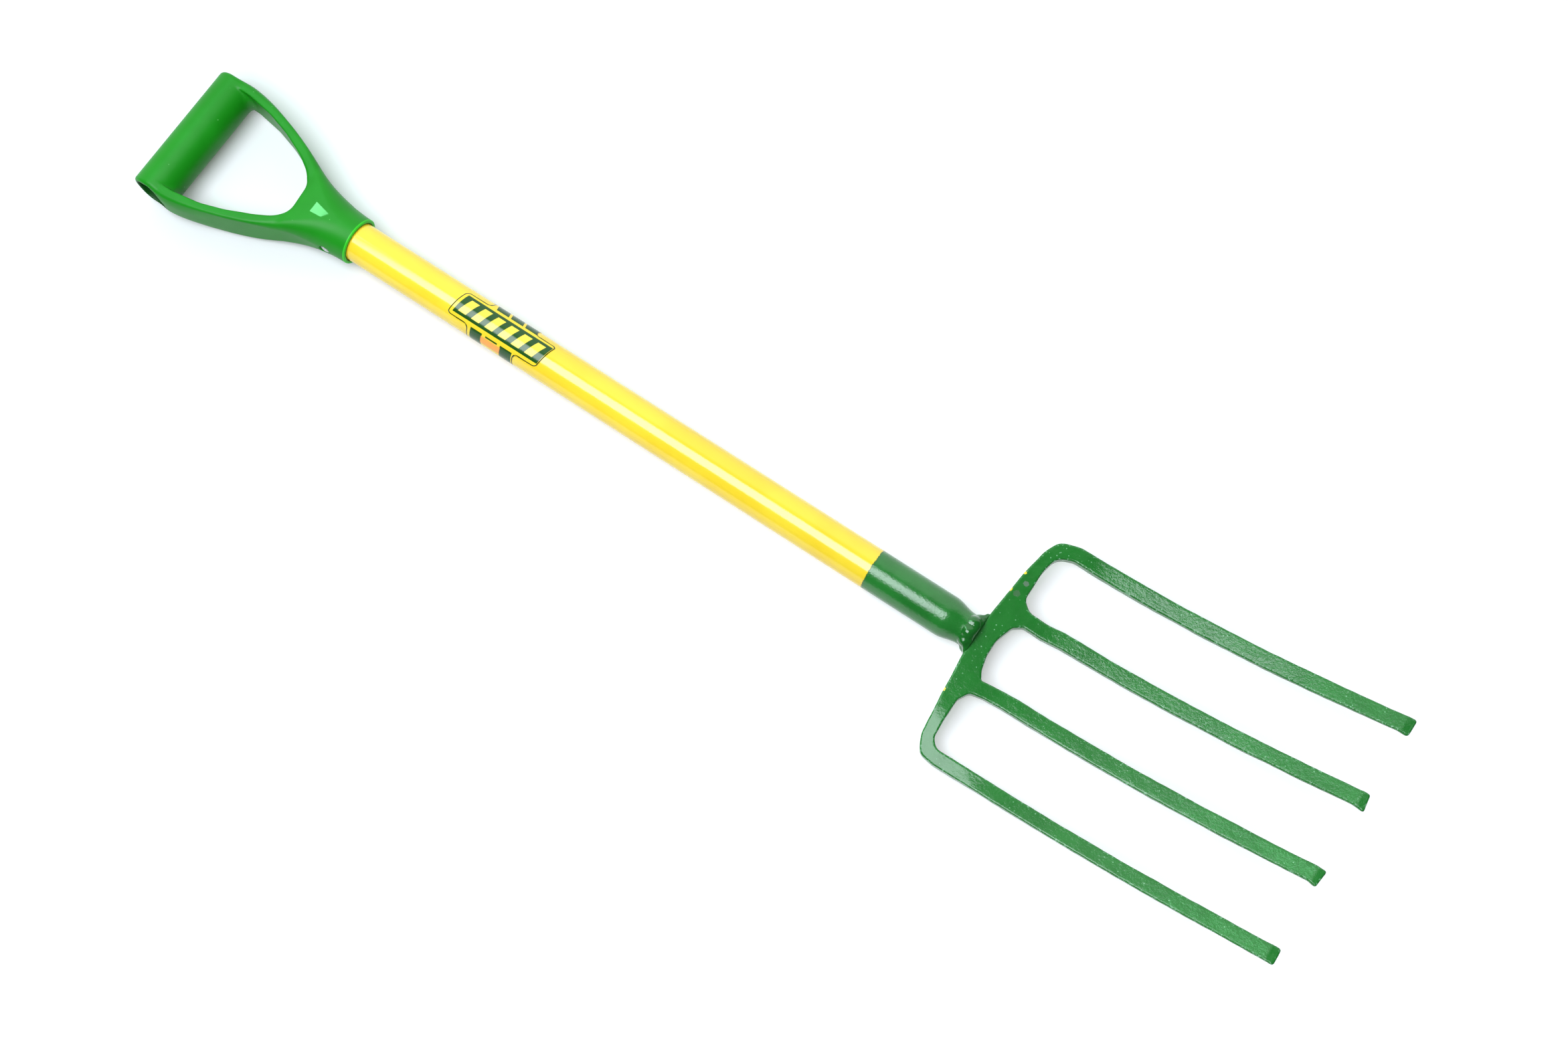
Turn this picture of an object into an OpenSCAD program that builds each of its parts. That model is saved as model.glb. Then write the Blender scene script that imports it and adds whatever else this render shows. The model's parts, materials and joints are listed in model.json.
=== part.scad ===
// Four-tine garden fork: a moulded D-handle riveted to a steel tube, whose swaged lower end
// is welded to a forged head. The shaft runs along X, the tines point to +X and curve up (+Z).
// The origin is under the middle of the tool, on the surface that it lies on.

/* [Grip] */
// Outside diameter of the hollow grip
grip_d = 35.5; // [32:0.5:36]
// Diameter of the bore through the grip
grip_bore_d = 28.5; // [24:0.5:29]
// Overall width of the handle across the grip, at its widest
handle_w = 118.5; // [112:0.5:122]
// Width across the grip's ends, level with the flat faces of the arms
handle_edge_w = 112; // [110:0.5:113]

/* [Arms] */
// Thickness of the arms, front face to back face
arm_t = 32; // [28:0.5:33]
// Width of the hand opening where it meets the grip
opening_w = 99.5; // [97:0.5:100]
// Distance from the grip's axis to the far end of the hand opening
opening_reach = 107; // [104:0.5:108]

/* [Socket] */
// Outside diameter of the socket
socket_d = 39; // [38:0.5:40]
// Distance from the grip's axis to the socket's mouth
socket_end = 161.7; // [158:0.1:168]
// Distance from the grip's axis to the bottom of the socket's bore
socket_floor = 118; // [117:0.5:120]
// Radial gap between the tube and the socket's bore
socket_gap = 0.1; // [0.05:0.05:0.2]

/* [Rivet] */
// Diameter of the rivet's shank
rivet_d = 5; // [4:0.5:6]
// Diameter of the rivet's heads
rivet_head_d = 8.6; // [8:0.1:10]
// Height of a rivet head's dome
rivet_head_h = 1.5; // [1.2:0.1:2]
// Distance from the grip's axis to the rivet
rivet_x = 142.5; // [138:0.5:148]

/* [Tube] */
// Outside diameter of the steel tube
tube_d = 32; // [30:0.5:32]
// Wall thickness of the tube
tube_wall = 1.6; // [1.2:0.1:2]
// Distance from the grip's axis to the tube's lower end
tube_end = 724.6; // [724:0.1:725]
// Length of the swage that narrows the tube's lower end
swage_len = 18; // [14:0.5:24]
// Outside diameter of the narrowed end
neck_d = 25.6; // [25:0.1:27]

/* [Head] */
// Width of the head across the outer tines
head_w = 195; // [190:0.5:200]
// Centre-to-centre spacing of the tines
tine_pitch = 61; // [60:0.1:62]
// Width of a tine
tine_w = 12; // [11:0.1:12.4]
// Width of a tine across its flared tip
tip_w = 13.3; // [12.5:0.1:14]
// Distance from the grip's axis to the tine tips
tip_x = 1012.6; // [1000:0.1:1020]
// Height that the tines' upper face rises between root and tip
tine_rise = 74; // [60:1:80]
// Thickness of the crossbar and of the tines at the root
root_t = 10; // [9:0.5:11]
// Thickness of the tines at the tip
tip_t = 4.4; // [4:0.1:5]
// Distance from the grip's axis to the crossbar's back edge, on the centre line
bar_x = 725.3; // [725.2:0.1:726]
// How far each half of the crossbar sweeps forward
bar_sweep = 5.6; // [4:0.1:7]

/* [Label] */
// Distance from the grip's axis to the label's near end
label_x = 257.4; // [240:0.1:280]
// Length of the label along the tube
label_len = 88.4; // [70:0.1:92]
// Angle that the label covers around the tube
label_arc = 220; // [180:5:260]
// Thickness of the label film
label_t = 0.15; // [0.1:0.05:0.2]

/* [Hidden] */
$fn = 96;

grip_r = grip_d / 2;
tube_r = tube_d / 2;
neck_r = neck_d / 2;
socket_r = socket_d / 2;
mid_x = (tip_x - grip_r) / 2;
neck_len = 6;
swage_x = tube_end - neck_len - swage_len;
rivet_seat = socket_r - 0.6;
label_tilt = 8;
beyond = 500;

bar_top = root_t / 2 + 0.5;
bar_bottom = bar_top - root_t;
half_w = head_w / 2;
inner_y = tine_pitch / 2;
outer_y = half_w - tine_w / 2;
tine_start = 765;
flare_len = 8;
spigot_r = neck_r - tube_wall - 0.15;
stub_r = spigot_r - 6.5;
spigot_x = tube_end - 16;
spigot_len = 15.5;
bead_x = 717.6;
bead_end = 728.2;
bead_r = neck_r + 1.1;

// ---- curves ----

// A point on a cubic Bezier curve.
function bezier_at(a, b, c, d, t) =
    pow(1 - t, 3) * a + 3 * pow(1 - t, 2) * t * b + 3 * (1 - t) * t * t * c + pow(t, 3) * d;

// A cubic Bezier curve, without its last point.
function bezier(a, b, c, d, steps = 12) =
    [for (i = [0:steps - 1]) bezier_at(a, b, c, d, i / steps)];

// A corner between two straight edges, rounded by an arc of radius r.
function corner(before, at, after, r, steps = 5) =
    let (
        u = (before - at) / norm(before - at),
        v = (after - at) / norm(after - at),
        half = acos(u * v) / 2,
        reach = r / tan(half),
        centre = at + (u + v) / norm(u + v) * r / sin(half),
        a = at + u * reach - centre,
        b = at + v * reach - centre,
        turn = (a.x * b.y - a.y * b.x > 0 ? 1 : -1) * (180 - 2 * half)
    )
    [for (i = [0:steps])
        let (w = turn * i / steps)
        centre + [a.x * cos(w) - a.y * sin(w), a.x * sin(w) + a.y * cos(w)]];

// A closed outline from [x, y, radius] corners; a radius of 0 leaves the corner sharp.
function rounded(points) =
    let (n = len(points))
    [for (i = [0:n - 1])
        let (
            p = points[i],
            before = points[(i + n - 1) % n],
            after = points[(i + 1) % n]
        )
        each p.z == 0
            ? [[p.x, p.y]]
            : corner([before.x, before.y], [p.x, p.y], [after.x, after.y], p.z)];

function mirrored(points) = [for (i = [len(points) - 1:-1:0]) [points[i].x, -points[i].y]];

// ---- frame ----

// Moves a shape from the grip's axis to the part's own origin.
module in_frame() {
    translate([-mid_x, 0, socket_r]) children();
}

module along_x(length, r) {
    rotate([0, 90, 0]) cylinder(h = length, r = r);
}

module along_y(length, r) {
    rotate([90, 0, 0]) cylinder(h = length, r = r, center = true);
}

// ---- D-handle ----

// Outer edge of one side at mid-thickness: the grip's end, the arm and the socket.
function handle_edge() =
    let (
        end_y = handle_edge_w / 2,
        widest = [15, handle_w / 2],
        waist = [82, handle_w / 2 - 20.5]
    )
    concat(
        [[-grip_r, end_y - 2.5], [-grip_r + 1, end_y - 0.6]],
        bezier([-grip_r + 3, end_y], [-6, end_y + 1.2], [4, handle_w / 2], widest, 5),
        bezier(widest, [34, handle_w / 2 - 0.6], [58, waist.y + 11], waist),
        bezier(waist, [104, waist.y - 10.5], [114, socket_r + 2], [146, socket_r]),
        [[socket_end, socket_r]]
    );

module handle_plan() {
    edge = handle_edge();
    polygon(concat(edge, mirrored(edge)));
}

// The hand opening, widest at the grip and round at the yoke.
module opening_plan() {
    y = opening_w / 2;
    reach = opening_reach;
    shoulder = [reach - 31, y - 15.4];
    throat = [reach - 2, 13.5];
    side = concat(
        [[0, y]],
        bezier([14, y], [36, y], [58, y - 6.8], shoulder, 10),
        bezier(shoulder, [reach - 17, y - 22.4], [reach - 6, 21], throat, 6),
        bezier(throat, [reach - 0.5, 9.5], [reach, 5], [reach, 0], 4)
    );
    polygon(concat(side, [[reach, 0]], mirrored(side)));
}

// Side view of the arms: round at the grip, with level faces ahead of it.
module arm_side() {
    circle(r = grip_r);
    translate([0, -arm_t / 2]) square([socket_end - 22, arm_t]);
}

// Fills everything inside a crowned limit, y_limit from the centre line at mid-thickness.
module crowned_side(y_limit) {
    crown = (handle_w - handle_edge_w) / 2;
    z_max = grip_r + 2;
    rim = [for (i = [-8:8])
        let (z = z_max * i / 8)
        [y_limit - crown * pow(2 * z / arm_t, 2), z]];
    rotate([90, 0, 90]) linear_extrude(height = beyond, center = true)
        polygon(concat(rim, [[-200, z_max], [-200, -z_max]]));
}

// The arms' outer faces are crowned, first square to the grip, then along the arm.
module crowned_arms() {
    arm_turn = -12;
    turn_x = 20;
    intersection_for(side = [0, 1])
        mirror([0, side, 0]) intersection() {
            crowned_side(handle_w / 2);
            translate([turn_x, handle_w / 2 + 0.4, 0]) rotate([0, 0, arm_turn]) crowned_side(0);
        }
}

// Concave fillet where the grip meets one arm.
module grip_fillet() {
    y = opening_w / 2;
    r = 7;
    rotate([-90, 0, 0]) rotate_extrude() polygon(concat(
        [[0, y + 1], [0, y - r]],
        [for (i = [0:5]) let (w = 18 * i) [grip_r + r - r * cos(w), y - r + r * sin(w)]],
        [[grip_r + r, y + 1]]
    ));
}

// Outside of the socket, from the yoke to the mouth.
module socket_body() {
    rim = 0.8;
    rotate([0, 90, 0]) rotate_extrude() polygon([
        [0, opening_reach + 1], [arm_t / 2, opening_reach + 1], [socket_r, opening_reach + 29],
        [socket_r, socket_end - rim], [socket_r - rim, socket_end], [0, socket_end]
    ]);
}

// Rounds the yoke's corners off until they vanish into the socket.
module yoke_limit() {
    rotate([0, 90, 0]) rotate_extrude() polygon([
        [0, -2 * grip_r], [handle_w, -2 * grip_r], [handle_w, 30], [socket_r + 16.5, opening_reach - 9],
        [socket_r, opening_reach + 33], [0, opening_reach + 33]
    ]);
}

module d_handle() {
    color("forestgreen") in_frame()
    difference() {
        union() {
            intersection() {
                union() {
                    difference() {
                        linear_extrude(height = 2 * grip_d, center = true) handle_plan();
                        linear_extrude(height = 3 * grip_d, center = true) opening_plan();
                    }
                    along_y(handle_w + 10, grip_r);
                    for (side = [0, 1]) mirror([0, side, 0]) grip_fillet();
                }
                rotate([90, 0, 0]) linear_extrude(height = 2 * handle_w, center = true) arm_side();
                linear_extrude(height = 3 * arm_t, center = true) handle_plan();
                crowned_arms();
                yoke_limit();
            }
            socket_body();
        }
        along_y(handle_w + 20, grip_bore_d / 2);
        translate([socket_floor, 0, 0]) along_x(100, tube_r + socket_gap);
        translate([rivet_x, 0, 0]) along_y(2 * socket_d, rivet_d / 2 + 0.1);
        for (side = [-1, 1])
            translate([rivet_x, side * (rivet_seat + 10), 0]) along_y(20, rivet_head_d / 2 + 0.4);
    }
}

// ---- rivet ----

// One domed head, standing on the plane y = 0 and rising to +Y.
module rivet_head() {
    ball_r = (pow(rivet_head_d / 2, 2) + pow(rivet_head_h, 2)) / (2 * rivet_head_h);
    intersection() {
        translate([0, rivet_head_h - ball_r, 0]) sphere(r = ball_r);
        translate([0, 5, 0]) along_y(10, rivet_head_d / 2);
    }
}

module handle_rivet() {
    color("silver") in_frame() translate([rivet_x, 0, 0]) {
        along_y(2 * rivet_seat, rivet_d / 2);
        for (side = [0, 1])
            mirror([0, side, 0]) translate([0, rivet_seat, 0]) rivet_head();
    }
}

// ---- tube ----

// Outside radius of the tube at a distance x from the grip's axis.
function tube_radius(x) =
    let (u = min(1, max(0, (x - swage_x) / swage_len)))
    tube_r - (tube_r - neck_r) * (1 - cos(180 * u)) / 2;

// Half section of the tube, moved inwards by a wall thickness.
function tube_side(inset) =
    let (start = socket_floor)
    concat(
        [[tube_radius(start) - inset, start]],
        [for (i = [0:12]) let (x = swage_x + swage_len * i / 12) [tube_radius(x) - inset, x]],
        [[neck_r - inset, tube_end]]
    );

module shaft_tube() {
    outside = tube_side(0);
    inside = tube_side(tube_wall);
    color("gold") in_frame()
    difference() {
        rotate([0, 90, 0]) rotate_extrude()
            polygon(concat(outside, [for (i = [len(inside) - 1:-1:0]) inside[i]]));
        translate([rivet_x, 0, 0]) along_y(2 * socket_d, rivet_d / 2 + 0.05);
    }
}

// ---- head ----

// Edge of one half of the head on its outer side, from the centre line to the outer tine's tip.
function head_outside() = [
    [bar_x, 0, 0],
    [bar_x + bar_sweep, 55, 30],
    [bar_x + bar_sweep + 3.6, 81, 10],
    [bar_x + bar_sweep + 10, 91.5, 10],
    [bar_x + 28, half_w, 14],
    [tip_x - flare_len, half_w, 8],
    [tip_x, outer_y + tip_w / 2, 1.8]
];

// Edge of one half on its inner side, from the outer tine's tip back to the centre line.
function head_inside() =
    let (
        inner_out = inner_y + tine_w / 2,
        inner_in = inner_y - tine_w / 2,
        gap_x = bar_x + 16.9
    )
    [
        [tip_x, outer_y - tip_w / 2, 1.8],
        [tip_x - flare_len, outer_y - tine_w / 2, 8],
        [gap_x + 10, outer_y - tine_w / 2, 10],
        [gap_x, outer_y - tine_w / 2 - 5, 10],
        [gap_x, inner_out, 7],
        [tip_x - flare_len, inner_out, 8],
        [tip_x, inner_y + tip_w / 2, 1.8],
        [tip_x, inner_y - tip_w / 2, 1.8],
        [tip_x - flare_len, inner_in, 8],
        [gap_x + 7, inner_in, 3],
        [gap_x + 1.5, 12, 20],
        [gap_x - 0.6, 0, 0]
    ];

module head_plan() {
    half = rounded(concat(head_outside(), head_inside()));
    polygon(half);
    mirror([0, 1]) polygon(half);
}

// How far x lies along the curved part of the tines, from 0 at the root to 1 at the tip.
function along_tine(x) = max(0, (x - tine_start) / (tip_x - tine_start));

// Height of the head's upper face above the crossbar, at a distance x from the grip's axis.
function head_rise(x) =
    let (t = along_tine(x), straighten = 0.16)
    tine_rise * t * t * (1 + straighten - straighten * t);

function head_thickness(x) =
    root_t + (tip_t - root_t) * pow(along_tine(x), 0.7);

// Side view of the head: level crossbar, curved and tapering tines.
module head_side() {
    xs = concat([bar_x - 5, tine_start], [for (i = [1:18]) tine_start + (tip_x - tine_start) * i / 18],
        [tip_x + 1]);
    upper = [for (x = xs) [x, bar_top + head_rise(x)]];
    lower = [for (x = xs) [x, bar_top + head_rise(x) - head_thickness(x)]];
    polygon(concat(upper, [for (i = [len(lower) - 1:-1:0]) lower[i]]));
}

module fork_head() {
    color("darkgreen") in_frame()
    union() {
        intersection() {
            translate([0, 0, bar_bottom - 5]) linear_extrude(height = 120) head_plan();
            rotate([90, 0, 0]) linear_extrude(height = 2 * head_w, center = true) head_side();
        }
        translate([spigot_x - 6, 0, 0]) along_x(bar_x + 12 - spigot_x, stub_r);
        translate([spigot_x, 0, 0]) along_x(spigot_len, spigot_r);
    }
}

// ---- weld ----

// The weld runs round the neck and fills the corner against the crossbar.
module weld_bead() {
    color("darkgreen") in_frame()
    difference() {
        union() {
            rotate([0, 90, 0]) rotate_extrude() polygon([
                [0, bead_x], [tube_radius(bead_x), bead_x], [bead_r - 0.3, bead_x + 1],
                [bead_r, bead_x + 2.5], [bead_r, bead_x + 4.5], [bead_r - 1, bead_x + 7],
                [bar_top + 1.8, bead_end - 0.8], [bar_top + 0.6, bead_end], [0, bead_end]
            ]);
            translate([0, 0, bar_bottom + 0.5]) linear_extrude(height = root_t - 1) polygon([
                [bead_x + 3, 0], [bead_x + 3, neck_r], [bead_x + 5.5, neck_r + 0.6],
                [bead_end - 1, neck_r + 3.6], [bead_end - 1, -neck_r - 3.6],
                [bead_x + 5.5, -neck_r - 0.6], [bead_x + 3, -neck_r]
            ]);
        }
        rotate([0, 90, 0]) rotate_extrude()
            polygon(concat([[0, socket_floor]], tube_side(0), [[0, tube_end]]));
        translate([tube_end - 5, 0, 0]) along_x(20, stub_r);
        translate([0, 0, bar_bottom]) linear_extrude(height = root_t) head_plan();
        translate([spigot_x, 0, 0]) along_x(spigot_len, spigot_r);
    }
}

// ---- label ----

module shaft_label() {
    r = tube_r + label_t;
    spread = 2 * tube_r;
    edge = (360 - label_arc) / 2;
    color("darkolivegreen") in_frame() translate([label_x, 0, 0])
    difference() {
        along_x(label_len, r);
        translate([-1, 0, 0]) along_x(label_len + 2, tube_r);
        rotate([label_tilt, 0, 0]) translate([-1, 0, 0]) rotate([90, 0, 90])
            linear_extrude(height = label_len + 2)
            polygon([[0, 0], [-spread * sin(edge), -spread * cos(edge)], [-spread, -2 * spread],
                [spread, -2 * spread], [spread * sin(edge), -spread * cos(edge)]]);
    }
}

d_handle();
handle_rivet();
shaft_tube();
fork_head();
weld_bead();
shaft_label();
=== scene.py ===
"""The looks of a four-tine fork with a moulded D-handle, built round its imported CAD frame."""

import json
import math

import bpy
import numpy as np
from mathutils import Matrix, Vector


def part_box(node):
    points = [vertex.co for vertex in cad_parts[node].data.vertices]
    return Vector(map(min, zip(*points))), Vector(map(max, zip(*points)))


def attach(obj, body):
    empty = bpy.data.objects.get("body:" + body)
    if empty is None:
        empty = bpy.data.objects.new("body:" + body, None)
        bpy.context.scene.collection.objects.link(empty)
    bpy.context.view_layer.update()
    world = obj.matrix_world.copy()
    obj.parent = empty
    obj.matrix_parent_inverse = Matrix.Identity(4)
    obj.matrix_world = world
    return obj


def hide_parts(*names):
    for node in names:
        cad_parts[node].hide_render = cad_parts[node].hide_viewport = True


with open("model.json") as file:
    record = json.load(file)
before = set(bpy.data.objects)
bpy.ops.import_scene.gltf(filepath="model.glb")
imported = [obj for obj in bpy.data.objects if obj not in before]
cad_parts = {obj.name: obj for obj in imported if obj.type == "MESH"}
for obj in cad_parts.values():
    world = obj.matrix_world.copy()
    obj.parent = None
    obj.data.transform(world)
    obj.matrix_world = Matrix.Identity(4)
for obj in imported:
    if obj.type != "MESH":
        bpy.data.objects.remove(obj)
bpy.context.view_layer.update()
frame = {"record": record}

# ---- Sizes from the frame ----
# Shapes are worked out in millimetres from the grip's axis: X along the shaft, Y along the grip
# and Z up.

MM = 0.001
GRIP_BORE = next(m for m in frame["record"]["mounts"] if m["name"] == "grip_bore")
ORIGIN = np.array(GRIP_BORE["pos_m"])


def box_mm(node):
    low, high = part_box(node)
    return (np.array(low) - ORIGIN) / MM, (np.array(high) - ORIGIN) / MM


handle_low, handle_high = box_mm("d_handle")
rivet_low, rivet_high = box_mm("handle_rivet")
tube_low, tube_high = box_mm("shaft_tube")
head_low, head_high = box_mm("fork_head")
label_low, label_high = box_mm("shaft_label")

BORE_R = GRIP_BORE["dims"]["r_mm"]
GRIP_R = -handle_low[0]
SOCKET_R = handle_high[2]
SOCKET_END = handle_high[0]
SOCKET_FLOOR = tube_low[0]
RIVET_X = (rivet_low[0] + rivet_high[0]) / 2
RIVET_HEAD_R = (rivet_high[0] - rivet_low[0]) / 2
RIVET_TOP = rivet_high[1]
TUBE_R = tube_high[2]
TUBE_END = tube_high[0]
TIP_X = head_high[0]

# ---- Sizes the frame doesn't give ----
# They are the CAD's own, or within half a millimetre of them.

ARM_HALF_HEIGHT = 16
SEAT_R = SOCKET_R - 0.75
TUBE_WALL = 1.6
NECK_R = 12.8
SWAGE_X = TUBE_END - 24
SWAGE_LEN = 18
SPIGOT_PIN_R = 4.5
BAR_TOP = 5.5
BAR_THICK = 10
OUTER_TINE_Y = 91
INNER_TINE_Y = 30
TINE_START = 765
TINE_RISE = head_high[2] - BAR_TOP
PAINT_LINE = 637.3
LABEL_SLANT = 0.22
FILM_THICK = 0.15

# ---- What the photo adds to the CAD ----

GRIP_SHIFT = 0.3
GRIP_WARP = 0.8
CHISEL_LENGTH = 6.6
CHISEL_SLOPE = 0.46
OUTER_ROLL = math.radians(9.5)
INNER_ROLL = math.radians(3.5)
LOWEST_ROLL = math.radians(4)
WORN_X = 123

# ---- Sizes of the mesh cells, and the room left round each mesh ----

MESH_MARGIN = 1.5
MOULDING_CELL = 0.85
WELD_CELL = 0.42
PLAN_CELL = 0.6
PLAN_MARGIN = 7


def to_frame(points):
    """From millimetres off the grip's axis to the part's own frame in metres."""
    return np.asarray(points, float) * MM + ORIGIN


# ---- Signed-distance helpers, all in millimetres ----


def smooth_min(a, b, k):
    """Union of two distances, with a fillet of about k."""
    h = np.clip(0.5 + 0.5 * (b - a) / k, 0, 1)
    return b + (a - b) * h - k * h * (1 - h)


def smooth_max(a, b, k):
    return -smooth_min(-a, -b, k)


def round_max(a, b, r):
    """Intersection of two distances, with the edge between them rounded to radius r."""
    a, b = a + r, b + r
    return np.minimum(np.maximum(a, b), 0) + np.hypot(np.maximum(a, 0), np.maximum(b, 0)) - r


def smoothstep(x, low, high):
    t = np.clip((x - low) / (high - low), 0, 1)
    return t * t * (3 - 2 * t)


def profile(knots, step=0.25):
    """A smooth curve y(x) through a few knots. Returns a function giving y and its slope."""
    kx, ky = np.array(knots, float).T
    tangent = np.gradient(ky, kx)
    x = np.arange(kx[0], kx[-1] + step, step)
    i = np.clip(np.searchsorted(kx, x, side="right") - 1, 0, len(kx) - 2)
    width = kx[i + 1] - kx[i]
    t = np.clip((x - kx[i]) / width, 0, 1)
    y = (
        (2 * t**3 - 3 * t**2 + 1) * ky[i]
        + (t**3 - 2 * t**2 + t) * width * tangent[i]
        + (3 * t**2 - 2 * t**3) * ky[i + 1]
        + (t**3 - t**2) * width * tangent[i + 1]
    )
    slope = np.gradient(y, step)
    return lambda at: (np.interp(at, x, y), np.interp(at, x, slope))


def rounded_outline(corners, steps=6):
    """A closed outline from (x, y, radius) corners, each replaced by an arc."""
    points = []
    count = len(corners)
    for i, (x, y, r) in enumerate(corners):
        at = np.array([x, y], float)
        before = np.array(corners[i - 1][:2], float) - at
        after = np.array(corners[(i + 1) % count][:2], float) - at
        u, v = before / np.linalg.norm(before), after / np.linalg.norm(after)
        half = math.acos(np.clip(u @ v, -1, 1)) / 2
        reach = r / math.tan(half)
        if r == 0 or math.pi / 2 - half < 0.01:
            points.append(at)
            continue
        reach = min(reach, 0.49 * np.linalg.norm(before), 0.49 * np.linalg.norm(after))
        for t in np.linspace(0, 1, steps):
            a, b = at + u * reach, at + v * reach
            points.append((1 - t) ** 2 * a + 2 * t * (1 - t) * at + t**2 * b)
    return np.array(points)


class Plan:
    """Signed distance to a closed outline in plan, negative inside, kept on a fine grid."""

    def __init__(self, outline, cell=PLAN_CELL, margin=PLAN_MARGIN):
        self.cell = cell
        self.low = outline.min(0) - margin
        count = np.ceil((outline.max(0) + margin - self.low) / cell).astype(int) + 1
        x = self.low[0] + cell * np.arange(count[0])[:, None]
        y = self.low[1] + cell * np.arange(count[1])[None, :]
        nearest = np.full(tuple(count), 1e9)
        inside = np.zeros(tuple(count), bool)
        for (ax, ay), (bx, by) in zip(outline, np.roll(outline, -1, 0)):
            dx, dy = bx - ax, by - ay
            along = np.clip(((x - ax) * dx + (y - ay) * dy) / max(dx * dx + dy * dy, 1e-9), 0, 1)
            away = (x - ax - along * dx) ** 2 + (y - ay - along * dy) ** 2
            nearest = np.minimum(nearest, away)
            if dy != 0:
                spans = (ay > y) != (by > y)
                inside ^= spans & (x < ax + dx * (y - ay) / dy)
        self.grid = np.sqrt(nearest) * np.where(inside, -1, 1)

    def __call__(self, x, y):
        u = np.clip((x - self.low[0]) / self.cell, 0, self.grid.shape[0] - 1.001)
        v = np.clip((y - self.low[1]) / self.cell, 0, self.grid.shape[1] - 1.001)
        i, j = u.astype(int), v.astype(int)
        u, v = u - i, v - j
        g = self.grid
        return (g[i, j] * (1 - u) + g[i + 1, j] * u) * (1 - v) + (
            g[i, j + 1] * (1 - u) + g[i + 1, j + 1] * u
        ) * v


def waves(x, y, z, size, seed):
    """Gentle unevenness from -1 to 1 with bumps about size millimetres across."""
    rng = np.random.default_rng(seed)
    total = 0
    for _ in range(7):
        way = rng.normal(size=3)
        way *= 2 * math.pi / (size * rng.uniform(1.4, 3.0) * np.linalg.norm(way))
        total = total + np.sin(way[0] * x + way[1] * y + way[2] * z + rng.uniform(0, 2 * math.pi))
    return total / 4


# ---- Meshes ----


def surface_net(field, low, high, cell):
    """A quad mesh of the surface where field(x, y, z) is zero, with its vertices pulled onto it."""
    low = np.array(low, float)
    count = np.ceil((np.array(high, float) - low) / cell).astype(int) + 1
    x, y, z = (low[i] + cell * np.arange(count[i]) for i in range(3))
    value = np.broadcast_to(
        field(x[:, None, None], y[None, :, None], z[None, None, :]), tuple(count)
    )
    cells = count - 1
    step = np.array([cells[1] * cells[2], cells[2], 1])
    cell_ids, crossings, quads = [], [], []
    for axis in range(3):
        u, v = (axis + 1) % 3, (axis + 2) % 3
        start = np.moveaxis(value, axis, 0)[:-1]
        end = np.moveaxis(value, axis, 0)[1:]
        found = np.argwhere((start < 0) != (end < 0))
        order = [axis] + [a for a in range(3) if a != axis]
        at = np.empty_like(found)
        at[:, order] = found
        a, b = start[tuple(found.T)], end[tuple(found.T)]
        point = at.astype(float)
        point[:, axis] += a / (a - b)
        around = []
        for du, dv in ((-1, -1), (0, -1), (0, 0), (-1, 0)):
            neighbour = at.copy()
            neighbour[:, u] += du
            neighbour[:, v] += dv
            good = ((neighbour >= 0) & (neighbour < cells)).all(1)
            ids = neighbour @ step
            cell_ids.append(ids[good])
            crossings.append(point[good])
            around.append(np.where(good, ids, -1))
        quad = np.stack(around, 1)
        quad[b < 0] = quad[b < 0][:, ::-1]
        quads.append(quad[(quad >= 0).all(1)])
    cell_ids, crossings = np.concatenate(cell_ids), np.concatenate(crossings)
    used, index = np.unique(cell_ids, return_inverse=True)
    share = np.bincount(index)
    points = np.stack([np.bincount(index, crossings[:, i]) / share for i in range(3)], 1)
    points = low + cell * points
    quads = np.searchsorted(used, np.concatenate(quads))
    return pulled_on(field, points, cell), quads


def pulled_on(field, points, cell):
    h = 0.15 * cell
    for _ in range(4):
        x, y, z = points.T
        slope = np.stack(
            [
                field(x + h, y, z) - field(x - h, y, z),
                field(x, y + h, z) - field(x, y - h, z),
                field(x, y, z + h) - field(x, y, z - h),
            ],
            1,
        ) / (2 * h)
        steep = np.maximum((slope**2).sum(1), 0.3)
        move = -slope * (field(x, y, z) / steep)[:, None]
        points = points + np.clip(move, -0.4 * cell, 0.4 * cell)
    return points


def lathe(outline, sides, axis="x", centre=(0, 0, 0)):
    """Turns a closed (along, radius) outline round the X or Y axis."""
    outline = np.array(outline, float)
    angle = np.linspace(0, 2 * math.pi, sides, endpoint=False)
    along = np.repeat(outline[:, :1], sides, 1)
    a, b = outline[:, 1:] * np.sin(angle), outline[:, 1:] * np.cos(angle)
    parts = (along, a, b) if axis == "x" else (b, along, a)
    points = np.stack(parts, 2).reshape(-1, 3) + np.array(centre, float)
    rows = len(outline)
    row, side = np.meshgrid(np.arange(rows), np.arange(sides), indexing="ij")
    nxt, turn = (row + 1) % rows, (side + 1) % sides
    quads = np.stack(
        [row * sides + side, nxt * sides + side, nxt * sides + turn, row * sides + turn], 2
    )
    return points, quads.reshape(-1, 4)


def add_piece(name, points, faces, material, node):
    """Makes one smooth-shaded piece that stands for a CAD node."""
    mesh = bpy.data.meshes.new(name)
    mesh.from_pydata(to_frame(points).tolist(), [], faces.tolist())
    mesh.validate()
    mesh.shade_smooth()
    mesh.materials.append(material)
    piece = bpy.data.objects.new(name, mesh)
    bpy.context.scene.collection.objects.link(piece)
    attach(piece, "root")
    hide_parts(node)
    return piece


def add_values(piece, name, values):
    """Keeps one number for each vertex, for the material to read."""
    attribute = piece.data.attributes.new(name, "FLOAT", "POINT")
    attribute.data.foreach_set("value", values.astype(np.float32))


# ---- Material helpers ----


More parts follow.
